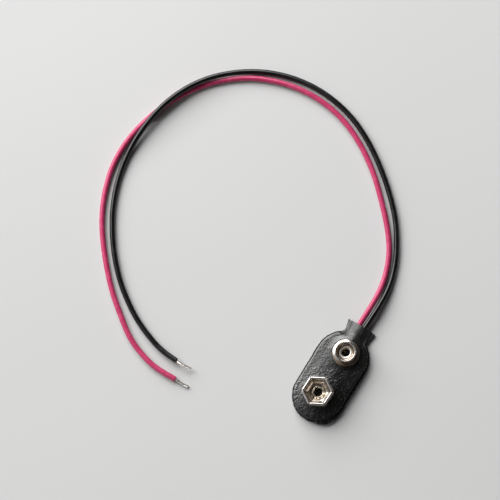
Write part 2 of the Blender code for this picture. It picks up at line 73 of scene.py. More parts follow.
def put(tree, kind, sources=None, **settings):
    """Add a shader node, set it up and feed its inputs."""
    node = tree.nodes.new("ShaderNode" + kind)
    for key, value in settings.items():
        setattr(node, key, value)
    feed(tree, node, sources or {})
    return node


def send(tree, node, **sources):
    """Feed a node's inputs by name; an underscore stands for a space."""
    feed(tree, node, {label.replace("_", " "): source for label, source in sources.items()})


def new_finish(name, **sources):
    """A Principled material with plain values on the named sockets; returns it, its tree and its shader."""
    material = bpy.data.materials.new(name)
    material.use_nodes = True
    shader = material.node_tree.nodes["Principled BSDF"]
    send(material.node_tree, shader, **sources)
    return material, material.node_tree, shader


def own_place(tree):
    """The point being shaded, in the object's own coordinates."""
    return put(tree, "TexCoord").outputs["Object"]


def noise(tree, place, scale, detail=2.0, roughness=0.5):
    """The value of a noise texture at a place."""
    sources = {"Vector": place, "Scale": scale, "Detail": detail, "Roughness": roughness}
    return put(tree, "TexNoise", sources).outputs["Fac"]


def rescale(tree, value, low, high, to_low=0.0, to_high=1.0, smooth=False):
    """A value taken from one range to another and held within it, in a straight line or a smooth S."""
    sources = {"Value": value, "From Min": low, "From Max": high, "To Min": to_low, "To Max": to_high}
    curve = "SMOOTHSTEP" if smooth else "LINEAR"
    return put(tree, "MapRange", sources, interpolation_type=curve).outputs[0]


def ramp(tree, value, stops):
    """A colour ramp node over value; stops are (position, colour) pairs."""
    node = put(tree, "ValToRGB", {"Fac": value})
    elements = node.color_ramp.elements
    while len(elements) < len(stops):
        elements.new(0.5)
    for element, (position, colour) in zip(elements, stops):
        element.position = position
        element.color = (*colour, 1.0)
    return node.outputs["Color"]


def bump_of(tree, height, distance, strength):
    """The normal of a surface raised by a height; the distance is in metres."""
    node = put(tree, "Bump", {"Height": height, "Distance": distance, "Strength": strength})
    return node.outputs["Normal"]


def soft_lamp(name, bearing, height, distance, width, tall, power, colour):
    """An area lamp at a compass bearing from the picture's right, turned to face the object."""
    angle = math.radians(bearing)
    side = Vector((picture_right.x, picture_right.y, 0.0))
    ahead = Vector((-picture_right.y, picture_right.x, 0.0))
    flat = side * math.cos(angle) + ahead * math.sin(angle)
    tilt = math.radians(height)
    lamp = bpy.data.lights.new(name, "AREA")
    lamp.shape = "RECTANGLE"
    lamp.size = width
    lamp.size_y = tall
    lamp.energy = power
    lamp.color = colour
    holder = bpy.data.objects.new(name, lamp)
    holder.location = camera_aim + (flat * math.cos(tilt) + Vector((0, 0, 1)) * math.sin(tilt)) * distance
    holder.rotation_euler = (holder.location - camera_aim).to_track_quat("Z", "Y").to_euler()
    bpy.context.scene.collection.objects.link(holder)


soft_lamp("key_lamp", bearing=124, height=38.5, distance=1.06, width=1.4, tall=0.92, power=19.3,
          colour=(1.0, 0.99, 0.982))
world = bpy.data.worlds.new("studio")
world.use_nodes = True
sky = world.node_tree
lit_side = Vector((-picture_right.x, -picture_right.y, 0.0))
toward = put(sky, "VectorMath", {0: put(sky, "TexCoord").outputs["Generated"], 1: lit_side},
             operation="DOT_PRODUCT").outputs["Value"]
reach = rescale(sky, toward, -1.0, 1.0)
glow = [(0.0, (0.012, 0.012, 0.012)), (0.5, (0.034, 0.032, 0.029)), (0.66, (0.09, 0.09, 0.09)),
        (0.8, (0.5, 0.5, 0.5))]
send(sky, sky.nodes["Background"], Color=ramp(sky, reach, glow))
bpy.context.scene.world = world

table_half = 1.5
table_mesh = bpy.data.meshes.new("table")
table_corners = [(table_half * i, table_half * j, 0) for i, j in ((-1, -1), (1, -1), (1, 1), (-1, 1))]
table_mesh.from_pydata(table_corners, [], [(0, 1, 2, 3)])
table = bpy.data.objects.new("table", table_mesh)
bpy.context.scene.collection.objects.link(table)
table_finish, tree, shader = new_finish("table_card", Roughness=0.75)
place = own_place(tree)
tooth = noise(tree, place, 900.0, 3.0)
cloud = noise(tree, place, 9.0, 1.0)
card = ramp(tree, cloud, [(0.3, (0.735, 0.74, 0.742)), (0.7, (0.76, 0.763, 0.765))])
send(tree, shader, Base_Color=card, Normal=bump_of(tree, tooth, 0.00003, 0.5))
table_mesh.materials.append(table_finish)

# The two leads. Each is a stranded core in a soft vinyl jacket 1.5 mm thick, red from the socket and black
# from the stud. They leave the neck side by side, come down to the table, lie round one open loop in which
# black climbs over red in a long low hump, and end cut square with the jacket stripped back.
lead_radius = 0.75
red_route = [
    (-4.9, -3.6, 1.35), (-4.9, 0.04, 1.35), (-4.86, 2.48, 1.35), (-4.39, 5.0, 1.35), (-3.52, 7.03, 1.35),
    (-2.41, 8.78, 1.35), (-1.38, 10.38, 1.35), (-0.95, 11.92, 1.35), (-0.79, 13.53, 1.35), (-0.7, 16.0, 1.5),
    (-0.65, 19.0, 1.6), (-0.75, 22.5, 1.35), (-1.1, 26.0, 1.0), (-1.9, 29.5, 0.8), (-4.0, 34.7, 0.78),
    (-7.4, 39.7, 0.78), (-14.6, 47.3, 0.78), (-20.2, 52.2, 0.78), (-26.4, 56.3, 0.78), (-33.3, 59.4, 0.78),
    (-40.6, 60.9, 0.78), (-48.1, 60.8, 0.78), (-55.4, 59.1, 0.78), (-62.2, 56.0, 0.78), (-68.1, 51.5, 0.78),
    (-73.0, 45.9, 0.78), (-76.7, 39.4, 0.78), (-79.3, 32.4, 0.78), (-80.7, 25.0, 0.78), (-80.5, 17.5, 0.78),
    (-78.6, 10.3, 0.78), (-75.4, 3.5, 0.78), (-71.1, -2.6, 0.78), (-63.5, -10.9, 0.78), (-57.1, -16.2, 0.78),
    (-50.4, -20.7, 0.78), (-42.9, -23.2, 0.78), (-38.8, -23.5, 0.78), (-34.9, -23.4, 0.78),
]
black_route = [
    (0.99, 11.01, 1.35), (0.95, 12.2, 1.35), (0.95, 13.53, 1.35), (1.05, 16.0, 1.54), (1.15, 19.0, 1.76),
    (1.1, 22.5, 1.61), (0.8, 26.0, 1.2), (0.0, 29.8, 0.86), (-2.2, 35.4, 0.78), (-7.1, 43.1, 0.78),
    (-12.3, 48.6, 0.78), (-18.0, 53.4, 0.78), (-24.2, 57.6, 0.78), (-30.9, 60.9, 0.78), (-38.2, 62.8, 0.78),
    (-45.7, 63.2, 0.78), (-53.1, 62.0, 0.8), (-60.0, 59.3, 0.95), (-66.2, 55.1, 1.46), (-71.4, 49.7, 2.1),
    (-75.2, 43.4, 2.45), (-77.6, 36.4, 2.5), (-78.7, 29.0, 1.95), (-78.6, 21.6, 1.1), (-77.1, 14.3, 0.78),
    (-74.3, 7.3, 0.78), (-70.4, 0.9, 0.78), (-65.7, -4.9, 0.78), (-60.2, -10.0, 0.78), (-52.7, -14.9, 0.78),
    (-45.3, -17.9, 0.86), (-41.3, -18.8, 1.05), (-37.2, -19.1, 1.3),
]
mouth_y = 14.37


def through(points, count):
    """Points at even spacing on a smooth curve through the given ones: each stretch between two of them is
    blended from the straight lines through its four nearest, with knots spaced by the root of distance."""
    given = np.array(points, dtype=float)
    p = np.vstack([2 * given[0] - given[1], given, 2 * given[-1] - given[-2]])
    knots = np.concatenate([[0], np.cumsum(np.linalg.norm(np.diff(p, axis=0), axis=1) ** 0.5)])
    a, b, c, d = (p[k:len(p) - 3 + k, None] for k in range(4))
    ta, tb, tc, td = (knots[k:len(p) - 3 + k, None, None] for k in range(4))
    t = tb + (tc - tb) * np.linspace(0, 1, 24, endpoint=False)[None, :, None]
    ab = ((tb - t) * a + (t - ta) * b) / (tb - ta)
    bc = ((tc - t) * b + (t - tb) * c) / (tc - tb)
    cd = ((td - t) * c + (t - tc) * d) / (td - tc)
    abc = ((tc - t) * ab + (t - ta) * bc) / (tc - ta)
    bcd = ((td - t) * bc + (t - tb) * cd) / (td - tb)
    dense = (((tc - t) * abc + (t - tb) * bcd) / (tc - tb)).reshape(-1, given.shape[1])
    dense = np.vstack([dense, given[-1]])
    run = np.concatenate([[0], np.cumsum(np.linalg.norm(np.diff(dense, axis=0), axis=1))])
    stations = np.linspace(0, run[-1], count)
    return np.stack([np.interp(stations, run, dense[:, k]) for k in range(given.shape[1])], axis=1)


def along(path, stations):
    """Point, sideways and upward directions at each distance along a path; up is as near to Z as can be."""
    steps = np.diff(path, axis=0)
    run = np.concatenate([[0], np.cumsum(np.linalg.norm(steps, axis=1))])
    heading = np.gradient(path, axis=0)
    centre = np.stack([np.interp(stations, run, path[:, k]) for k in range(3)], axis=1)
    ahead = np.stack([np.interp(stations, run, heading[:, k]) for k in range(3)], axis=1)
    ahead /= np.linalg.norm(ahead, axis=1)[:, None]
    beside = np.cross(ahead, (0.0, 0.0, 1.0))
    beside /= np.linalg.norm(beside, axis=1)[:, None]
    return centre, beside, np.cross(beside, ahead)


def round_quads(rows, columns):
    """Quads between neighbouring rows of a grid whose last column meets its first, one for each column."""
    index = np.arange(rows * columns).reshape(rows, columns)
    after = np.roll(index, -1, axis=1)
    return np.stack([index[:-1], index[1:], after[1:], after[:-1]], axis=-1)


def tube(centre, beside, above, radii, sides, start=0.0):
    """Points and faces of a closed tube: a ring round each centre with its radius, quads between neighbours
    and a fan to a pole in the middle of each end ring. The first side is at the start angle."""
    turn = start + np.linspace(0, math.tau, sides, endpoint=False)
    spoke = beside[:, None] * np.cos(turn)[None, :, None] + above[:, None] * np.sin(turn)[None, :, None]
    rings = centre[:, None] + spoke * radii[:, None, None]
    end = (len(rings) - 1) * sides
    side = np.arange(sides)
    after = np.roll(side, -1)
    first = np.stack([np.full(sides, end + sides), side, after], axis=-1)
    last = np.stack([np.full(sides, end + sides + 1), end + after, end + side], axis=-1)
    points = np.vstack([rings.reshape(-1, 3), rings[0].mean(axis=0), rings[-1].mean(axis=0)])
    quads = round_quads(len(rings), sides).reshape(-1, 4)
    return points, quads.tolist() + first.tolist() + last.tolist()


def add_piece(name, points, faces, finish, loop_uv=None):
    """A smooth piece from points in millimetres, turned right side out by its signed volume."""
    p = np.asarray(points) * MM
    corners = np.array([(f[0], f[k], f[k + 1]) for f in faces for k in range(1, len(f) - 1)])
    a, b, c = (p[corners[:, k]] for k in range(3))
    if np.einsum("ij,ij->i", a, np.cross(b, c)).sum() < 0:
        faces = [face[::-1] for face in faces]
        loop_uv = None if loop_uv is None else [uv[::-1] for uv in loop_uv]
    mesh = bpy.data.meshes.new(name)
    mesh.from_pydata(p.tolist(), [], faces)
    mesh.polygons.foreach_set("use_smooth", [True] * len(mesh.polygons))
    if loop_uv is not None:
        layer = mesh.uv_layers.new(name="run")
        layer.uv.foreach_set("vector", np.concatenate([np.asarray(uv).ravel() for uv in loop_uv]))
    mesh.materials.append(finish)
    piece = bpy.data.objects.new(name, mesh)
    bpy.context.scene.collection.objects.link(piece)
    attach(piece, "root")
    return piece


def new_group(name, inputs, outputs):
    """A shader group with named sockets: inputs are (label, kind, default) and outputs (label, kind)."""
    group = bpy.data.node_groups.new(name, "ShaderNodeTree")
    for label, kind, default in inputs:
        socket = group.interface.new_socket(label, in_out="INPUT", socket_type="NodeSocket" + kind)
        if default is not None:
            socket.default_value = default
    for label, kind in outputs:
        group.interface.new_socket(label, in_out="OUTPUT", socket_type="NodeSocket" + kind)
    return group, group.nodes.new("NodeGroupInput"), group.nodes.new("NodeGroupOutput")


def use_group(tree, group, **sources):
    """The outputs of a group placed in a material, with its inputs fed."""
    return put(tree, "Group", sources, node_tree=group).outputs


def maths(tree, operation, *values, clamp=False):
    """The result of a Math node over the given numbers and outputs."""
    return put(tree, "Math", dict(enumerate(values)), operation=operation, use_clamp=clamp).outputs[0]


def colour_mix(tree, share, first, second):
    """A colour output or plain colour blended towards a second one by a share."""
    first, second = ((*c, 1.0) if isinstance(c, tuple) else c for c in (first, second))
    return put(tree, "Mix", {0: share, 6: first, 7: second}, data_type="RGBA").outputs[2]


# Skin of an extruded jacket: long faint draw lines, soft swellings and a few specks of dust
jacket_skin, inlet, outlet = new_group(
    "jacket_skin", [("Place", "Vector", None), ("Run", "Vector", None)],
    [("Mottle", "Float"), ("Height", "Float"), ("Dust", "Float")])
place = inlet.outputs["Place"]
lines = put(jacket_skin, "Mapping", {"Vector": inlet.outputs["Run"], "Scale": (34.0, 60.0, 1.0)})
drawn = noise(jacket_skin, lines.outputs[0], 1.0)
swell = noise(jacket_skin, place, 420.0)
fine = noise(jacket_skin, place, 5200.0)
specks = put(jacket_skin, "TexVoronoi", {"Vector": place, "Scale": 1500.0, "Randomness": 1.0})
few = maths(jacket_skin, "SUBTRACT", 0.1, specks.outputs["Distance"], clamp=True)
where = rescale(jacket_skin, noise(jacket_skin, place, 260.0), 0.55, 0.7)
dust = maths(jacket_skin, "MULTIPLY", few, where)
high = maths(jacket_skin, "ADD", swell, drawn)
send(jacket_skin, outlet, Mottle=swell, Height=maths(jacket_skin, "MULTIPLY_ADD", fine, 0.3, high),
     Dust=maths(jacket_skin, "MULTIPLY", dust, 6.0, clamp=True))


def jacket_finish(name, deep, light, dust_colour, bounce_colour, gloss):
    """Soft vinyl: colour between two close tones, slightly uneven gloss, faint draw lines in the bump. What
    it throws on its surroundings has the plainer bounce colour."""
    finish, tree, shader = new_finish(name, IOR=1.53)
    run = put(tree, "UVMap", uv_map="run").outputs["UV"]
    skin = use_group(tree, jacket_skin, Place=own_place(tree), Run=run)
    tone = ramp(tree, skin["Mottle"], [(0.3, deep), (0.7, light)])
    dusty = colour_mix(tree, skin["Dust"], tone, dust_colour)
    bounced = colour_mix(tree, put(tree, "LightPath").outputs["Is Diffuse Ray"], dusty, bounce_colour)
    rough = rescale(tree, skin["Mottle"], 0.3, 0.7, gloss - 0.04, gloss + 0.06)
    send(tree, shader, Base_Color=bounced, Roughness=rough,
         Normal=bump_of(tree, skin["Height"], 0.000012, 0.6))
    return finish


red_vinyl = jacket_finish("red_vinyl", deep=(0.60, 0.047, 0.152), light=(0.67, 0.062, 0.182),
                          dust_colour=(0.85, 0.5, 0.55), bounce_colour=(0.4, 0.12, 0.17), gloss=0.25)
black_vinyl = jacket_finish("black_vinyl", deep=(0.006, 0.006, 0.0065), light=(0.011, 0.011, 0.0115),
                            dust_colour=(0.2, 0.2, 0.2), bounce_colour=(0.01, 0.01, 0.01), gloss=0.17)

# How a jacket begins inside the cover and how it ends where it is cut and stripped: each pair is a distance
# from that end in millimetres and a share of the lead's radius
closed_end = np.array([(0.0, 0.5), (0.0, 0.93), (0.03, 0.98)])
cut_end = np.array([(0.05, 0.99), (0.015, 0.965), (0.0, 0.91), (0.0, 0.6), (0.03, 0.53), (0.15, 0.52),
                    (0.9, 0.51)])
wall_margin = 0.12
uv_per_metre = 10


def jacket(name, route, finish):
    """A lead's jacket laid along its route, with its path and length: a closed inner end, a long wall with
    slight swellings, and a cut end with a rounded lip, a flat face and the bore round the core."""
    path = through(route, 900)
    length = np.linalg.norm(np.diff(path, axis=0), axis=1).sum()
    wall = np.linspace(wall_margin, length - wall_margin, 560)
    stations = np.concatenate([closed_end[:, 0], wall, length - cut_end[:, 0]])
    thick = 1 + 0.006 * np.sin(wall * 0.9) + 0.004 * np.sin(wall * 2.3 + 1.0)
    radii = lead_radius * np.concatenate([closed_end[:, 1], thick, cut_end[:, 1]])
    sides = 28
    points, faces = tube(*along(path, stations), radii, sides, -math.pi / 2)
    left = np.broadcast_to(np.arange(sides) / sides, (len(stations) - 1, sides))
    right_side = left + 1 / sides
    here = np.broadcast_to(stations[:-1, None] * MM * uv_per_metre, left.shape)
    ahead = np.broadcast_to(stations[1:, None] * MM * uv_per_metre, left.shape)
    corners = ((left, here), (left, ahead), (right_side, ahead), (right_side, here))
    quads = np.stack([np.stack(corner, axis=-1) for corner in corners], axis=2)
    loop_uv = list(quads.reshape(-1, 4, 2)) + [np.zeros((3, 2))] * (2 * sides)
    piece = add_piece(name, points, faces, finish, loop_uv)
    return piece, path, length


red_jacket, red_path, red_length = jacket("red_jacket", red_route, red_vinyl)
black_jacket, black_path, black_length = jacket("black_jacket", black_route, black_vinyl)
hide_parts("red_lead")
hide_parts("black_lead")

# Stripped ends. Seven tinned copper strands, one in the middle and six twisted round it, stick out of each
# cut jacket by about 4 mm. The tin joins them side by side, and they part a little at the very end.
strand_radius = 0.122
strand_lay = 0.232
red_tip_route = [(-35.6, -23.4, 0.78), (-34.9, -23.4, 0.78), (-34.1, -23.43, 0.71), (-33.4, -23.5, 0.62),
                 (-32.1, -23.45, 0.5), (-30.9, -23.3, 0.45)]
black_tip_route = [(-37.9, -19.07, 1.25), (-37.2, -19.1, 1.3), (-36.4, -19.13, 1.36), (-35.6, -19.15, 1.4),
                   (-34.2, -19.1, 1.4), (-32.7, -18.95, 1.3)]

tinned, tree, shader = new_finish("tinned_strands", Metallic=1.0)
place = own_place(tree)
blotch = noise(tree, place, 1600.0, 4.0)
tin = ramp(tree, blotch, [(0.3, (0.52, 0.47, 0.42)), (0.55, (0.74, 0.72, 0.69)), (0.75, (0.86, 0.85, 0.83))])
drops = noise(tree, place, 4200.0, 3.0)
send(tree, shader, Base_Color=tin, Roughness=rescale(tree, blotch, 0.3, 0.7, 0.42, 0.24),
     Normal=bump_of(tree, drops, 0.00002, 0.7))


def strands(name, route, turns):
    """Seven tubes side by side: six wind round the route at one radius, with their angle growing along it,
    and open outwards over the last fifth; each ends round at its own length."""
    path = through(route, 120)
    length = np.linalg.norm(np.diff(path, axis=0), axis=1).sum()
    all_points, all_faces, start = [], [], 0
    for k in range(7):
        ends = length - 0.14 * ((k * 3) % 5) / 4
        stations = np.concatenate([[0.0], np.linspace(0.0, ends - 0.05, 60), [ends - 0.02, ends]])
        radii = strand_radius * np.concatenate([[0.5], np.ones(60), [0.8, 0.4]])
        centre, beside, above = along(path, stations)
        share = stations / length
        open_up = np.clip((share - 0.78) / 0.22, 0, 1) ** 2
        angle = math.tau * (turns * share + k / 6)
        lay = 0.0 if k == 6 else strand_lay * (1 + (0.25 + 0.1 * math.sin(k * 2.1)) * open_up)
        offset = (np.cos(angle) * lay)[:, None] * beside + (np.sin(angle) * lay)[:, None] * above
        points, faces = tube(centre + offset, beside, above, radii, 12)
        all_points.append(points)
        all_faces += [[start + i for i in face] for face in faces]
        start += len(points)
    return add_piece(name, np.vstack(all_points), all_faces, tinned)


red_tip = strands("red_tip", red_tip_route, 0.9)
black_tip = strands("black_tip", black_tip_route, 0.85)
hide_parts("red_core_tip")
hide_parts("black_core_tip")

# Cover. Two sheets of black grained vinyl hold everything: the front one is formed over the works, the flat
# back one closes it, and both are welded along a narrow rim and cut to one outline. The front sheet rises
# over the leads in the neck, whose flared end is left open, and each contact is riveted through it.
foot_y = -7.12
shoulder_y = 4.58
end_radius = 7.25
fillet_radius = 1.2
fillet_x = 4.75
waist_y = 11.57
neck_half = 3.55
mouth_flare = 0.55
edge_waves = ((0.07, 4.5), (0.03, 1.3))
rim_inside = 0.46
foot_bulge = 0.62
bulge_bearing = -38
bulge_spread = 25
front_thickness = 0.49
back_top = 0.585
back_thickness = 0.57
rim_top = 1.1
roof_edge = 2.87
crown = 0.59
crown_power = 1.8
hump_height = 1.74
hump_half = 3.3
board_middle = -0.37
board_half_length = 6.35
board_half_width = 3.9
stud_foot = 3.58
socket_foot = 3.9
stud_centre = np.array([0.377, 5.969])
socket_centre = np.array([-0.377, -6.709])
rivet_hole = 1.45


def bent(angles_from, angles_to, count):
    """Even angles in radians between two given in degrees."""
    return np.radians(np.linspace(angles_from, angles_to, count, endpoint=False))


def half_edge(foot_count, side_count, shoulder_count, fillet_count, flare_count):
    """The cut edge from the foot's middle up the right side to the mouth, and its outward directions: an
    arc, a straight side, an arc, the waist's hollow arc, then a flare that widens with the square of the
    height."""
    rise = math.degrees(math.atan2(waist_y - shoulder_y, fillet_x))
    foot = bent(-90, 0, foot_count)
    shoulder = bent(0, rise, shoulder_count)
    hollow = bent(rise + 180, 180, fillet_count)
    spoke = [np.stack([np.cos(a), np.sin(a)], axis=1) for a in (foot, shoulder, hollow)]
    side = np.linspace(foot_y, shoulder_y, side_count, endpoint=False)
    share = np.linspace(0, 1, flare_count)
    flare = np.stack([neck_half + mouth_flare * share ** 2, waist_y + (mouth_y - waist_y) * share], axis=1)
    points = np.vstack([
        spoke[0] * end_radius + (0, foot_y), np.stack([np.full(side_count, end_radius), side], axis=1),
        spoke[1] * end_radius + (0, shoulder_y), spoke[2] * fillet_radius + (fillet_x, waist_y), flare])
    outward = np.vstack([spoke[0], np.tile((1.0, 0.0), (side_count, 1)), spoke[1], -spoke[2],
                         np.tile((1.0, 0.0), (flare_count, 1))])
    return points, outward


def smooth_step(value):
    """0 below nought, 1 above one, and a smooth S between."""
    t = np.clip(value, 0.0, 1.0)
    return t * t * (3 - 2 * t)


def ripple(x, y, length, seed):
    """Uneven waves of about the given length, mostly within -1 and 1, made of seven seeded plane waves."""
    draw = np.random.default_rng(seed)
    total = np.zeros_like(x)
    for angle, phase, stretch in zip(draw.uniform(0, math.tau, 7), draw.uniform(0, math.tau, 7),
                                     draw.uniform(0.7, 1.5, 7)):
        total += np.sin((x * math.cos(angle) + y * math.sin(angle)) * math.tau / (length * stretch) + phase)
    return total / 3.5


def cover_plan(insets, parts, counts, seed):
    """Plan of one sheet as a grid (up the edge, across): each row runs from the left cut edge through rings
    at the given insets, then by shares of the way to the middle line, and out again to the right cut edge.
    The cut edge wanders by about a tenth of a millimetre, and the rim swells out at the foot's lower right
    by a bell curve of the bearing. Returns x, y and the distance in from the edge."""
    edge, outward = half_edge(*counts)
    halves = []
    for side in (-1, 1):
        out_x, out_y = side * edge[:, 0], edge[:, 1]
        wander = sum(size * ripple(out_x, out_y, length, seed + k)
                     for k, (size, length) in enumerate(edge_waves))
        wander *= smooth_step(np.abs(out_x) / 2) * smooth_step((mouth_y - out_y) / 1.5)
        around = np.degrees(np.arctan2(out_y - foot_y, edge[:, 0]))
        lip_bulge = foot_bulge * np.exp(-((around - bulge_bearing) / bulge_spread) ** 2)
        lip_bulge *= (side > 0) * (out_y < foot_y + 2)
        reach = (-insets[None, :] + wander[:, None] * np.clip(1 - insets / 1.2, 0, 1)[None, :]
                 + lip_bulge[:, None] * np.clip(1 - insets / rim_inside, 0, 1)[None, :])
        ring = edge[:, None] + outward[:, None] * reach[..., None]
        last = ring[:, -1:]
        middle = np.stack([np.zeros_like(last[..., 0]), np.clip(last[..., 1], foot_y, mouth_y)], axis=-1)
        inner = last + (middle - last) * parts[None, 1:, None]
        row = np.concatenate([ring, inner], axis=1)
        row[..., 0] *= side
        halves.append(row)
    across = np.concatenate([halves[0], halves[1][:, -2::-1]], axis=1)
    depth = np.concatenate([insets, insets[-1] + 5.9 * parts[1:]])
    return across[..., 0], across[..., 1], np.concatenate([depth, depth[-2::-1]])


def hang_sheet(name, mesh, finish, thickness, offset, edge_round, cut_angle):
    """A piece from a sheet's surface: Solidify gives it thickness (offset -1 away from its faces, 0 half to
    each side), Bevel rounds its cut edges, and it rides on the frame."""
    mesh.materials.append(finish)
    piece = bpy.data.objects.new(name, mesh)
    bpy.context.scene.collection.objects.link(piece)
    body = piece.modifiers.new("thickness", "SOLIDIFY")
    body.thickness = thickness * MM
    body.offset = offset
    body.use_even_offset = offset != 0
    soft = piece.modifiers.new("cut_edge", "BEVEL")
    soft.width = edge_round * MM
    soft.segments = 2
    soft.limit_method = "ANGLE"
    soft.angle_limit = math.radians(cut_angle)
    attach(piece, "root")
    return piece


def vinyl_sheet(name, x, y, z, keep, thickness, edge_round):
    """A closed sheet from a grid of its outer surface, welded where the grid meets itself."""
    rows, columns = x.shape
    index = np.arange(rows * columns).reshape(rows, columns)
    faces = np.stack([index[:-1, :-1], index[:-1, 1:], index[1:, 1:], index[1:, :-1]], axis=-1).reshape(-1, 4)
    faces = faces[keep[faces].all(axis=1)]
    mesh = bpy.data.meshes.new(name)
    mesh.from_pydata((np.stack([x, y, z], axis=-1).reshape(-1, 3) * MM).tolist(), [], faces.tolist())
    work = bmesh.new()
    work.from_mesh(mesh)
    bmesh.ops.remove_doubles(work, verts=work.verts, dist=2e-6)
    bmesh.ops.dissolve_degenerate(work, edges=work.edges, dist=1e-6)
    bmesh.ops.delete(work, geom=[v for v in work.verts if not v.link_faces], context="VERTS")
    for face in work.faces:
        face.smooth = True
    work.to_mesh(mesh)
    work.free()
    return hang_sheet(name, mesh, cover_vinyl, thickness, -1.0, edge_round, 55)


# Grain of the vinyl: pebbles about half a millimetre across with creases between them, finer tooth on top
leather_grain, inlet, outlet = new_group(
    "leather_grain",
    [("Place", "Vector", None), ("Cells", "Float", 2100.0), ("Stretch", "Vector", (1, 1, 1))],
    [("Height", "Float"), ("Crease", "Float"), ("Mottle", "Float")])
place = inlet.outputs["Place"]
shift = put(leather_grain, "TexNoise", {"Vector": place, "Scale": 1400.0}).outputs["Color"]
bent_place = put(leather_grain, "Mix", {0: 0.00022, 4: place, 5: shift}, data_type="VECTOR")
laid = put(leather_grain, "Mapping", {"Vector": bent_place.outputs[1], "Scale": inlet.outputs["Stretch"]})
pebbles = {"Vector": laid.outputs[0], "Scale": inlet.outputs["Cells"]}
cells = put(leather_grain, "TexVoronoi", pebbles, feature="DISTANCE_TO_EDGE")
crease = rescale(leather_grain, cells.outputs["Distance"], 0.0, 0.32, 1.0, 0.0, smooth=True)
tone = put(leather_grain, "TexVoronoi", pebbles)
dome = rescale(leather_grain, tone.outputs["Distance"], 0.0, 0.75, 1.0, 0.0, smooth=True)
tooth = noise(leather_grain, laid.outputs[0], 9000.0)
send(leather_grain, outlet, Crease=crease, Mottle=tone.outputs["Color"],
     Height=maths(leather_grain, "MULTIPLY_ADD", tooth, 0.3, dome))


def vinyl_finish(name, gloss, depth):
    """Black vinyl: duller in the creases and darker there as painted shade, each pebble a little different,
    worn smooth in patches.
    The pressed rim is smoother and the stretched neck duller than the roof, and the grain, its wrinkles and
    its lumps get shallower towards the left and the stud."""
    finish, tree, shader = new_finish(name, IOR=1.57, Specular_IOR_Level=1.0)
    place = own_place(tree)
    spot = put(tree, "SeparateXYZ", {0: place}).outputs
    grain = use_group(tree, leather_grain, Place=place)
    wrinkle = use_group(tree, leather_grain, Place=place, Cells=1500.0, Stretch=(1.0, 2.6, 1.0))
    tone = ramp(tree, grain["Mottle"], [(0.2, (0.002, 0.002, 0.0022)), (0.8, (0.005, 0.005, 0.0053))])
    # Painted shade: the creases are coloured darker than the pebbles, standing in for the shade they would
    # hold.
    dark = colour_mix(tree, grain["Crease"], tone, (0.0015, 0.0015, 0.0016))
    worn = rescale(tree, noise(tree, place, 210.0, 3.0), 0.35, 0.68, gloss + 0.1, gloss - 0.05)
    dull = maths(tree, "MULTIPLY_ADD", grain["Crease"], 0.03, worn)
    neck = rescale(tree, spot["Y"], 9 * MM, 12.5 * MM)
    low_edge = rescale(tree, spot["Z"], 2.8 * MM, 2.7 * MM, 0.0, -0.1)
    matt = put(tree, "Mix", {0: neck, 2: low_edge, 3: 0.14}, data_type="FLOAT")
    lumps = noise(tree, place, 1650.0, 1.0, 0.4)
    both = maths(tree, "MULTIPLY_ADD", wrinkle["Height"], 0.35, grain["Height"])
    lumpy = maths(tree, "MULTIPLY_ADD", lumps, 2.0, both)
    toward_stud = put(tree, "VectorMath", {0: place, 1: (-0.8, 1.0, 0.0)}, operation="DOT_PRODUCT")
    coarser = rescale(tree, toward_stud.outputs["Value"], 5 * MM, -3 * MM, 0.4, 1.0, smooth=True)
    pressed = maths(tree, "MULTIPLY", lumpy, coarser)
    send(tree, shader, Base_Color=dark, Roughness=maths(tree, "ADD", dull, matt.outputs[0]),
         Normal=bump_of(tree, pressed, depth * MM, 1.0))
    return finish


cover_vinyl = vinyl_finish("grained_vinyl", gloss=0.26, depth=0.048)

# The front sheet's height against the distance in from the cut edge: rim, wall and the roof's rounded border,
# then a roof that rises by a power of the share of the way to the middle
wall_line = through([(0.0, rim_top), (0.14, rim_top + 0.004), (0.34, rim_top + 0.005), (0.41, rim_top + 0.14),
                     (0.47, 1.64), (0.52, 2.12), (0.56, 2.5), (0.59, 2.655), (0.67, 2.705), (0.95, 2.775),
                     (1.55, roof_edge)], 56)
share_in = np.linspace(0, 1, 38)
x, y, depth_in = cover_plan(wall_line[:, 0], share_in, (72, 74, 46, 14, 22), 11)
roof = roof_edge + crown * (1 - (1 - share_in) ** crown_power)
height = np.concatenate([wall_line[:, 1], roof[1:]])
height = np.broadcast_to(np.concatenate([height, height[-2::-1]]), x.shape)
on_roof = smooth_step((depth_in - 1.1) / 1.2)[None, :]
in_neck = smooth_step((y - waist_y - fillet_radius / 4) / 2.4 + 1)
arch = 1 - (x / hump_half) ** 2
hump = rim_top + hump_height * (arch + np.sqrt(arch ** 2 + 0.012)) / 2
z = height * (1 - in_neck) + hump * in_neck
# The board's edge shows faintly through the roof, and the vinyl dips between board and wall
past_board = np.hypot(x, np.maximum(np.abs(y - board_middle) - board_half_length, 0)) - board_half_width
z = z - 0.02 * smooth_step((past_board + 0.6) / 1.4) * on_roof * (1 - in_neck)
# The sheet is drawn up to each contact and swells a little round it
for centre, foot in ((stud_centre, stud_foot), (socket_centre, socket_foot)):
    away = np.hypot(x - centre[0], y - centre[1])
    z = z + (0.05 * (1 - smooth_step((away - foot + 0.6) / 1.2))
             + 0.035 * np.exp(-((away - foot - 0.35) / 0.3) ** 2)) * (1 - in_neck)
z = z + on_roof * (0.018 * ripple(x, y, 3.4, 3) + 0.006 * ripple(x, y, 1.5, 5))
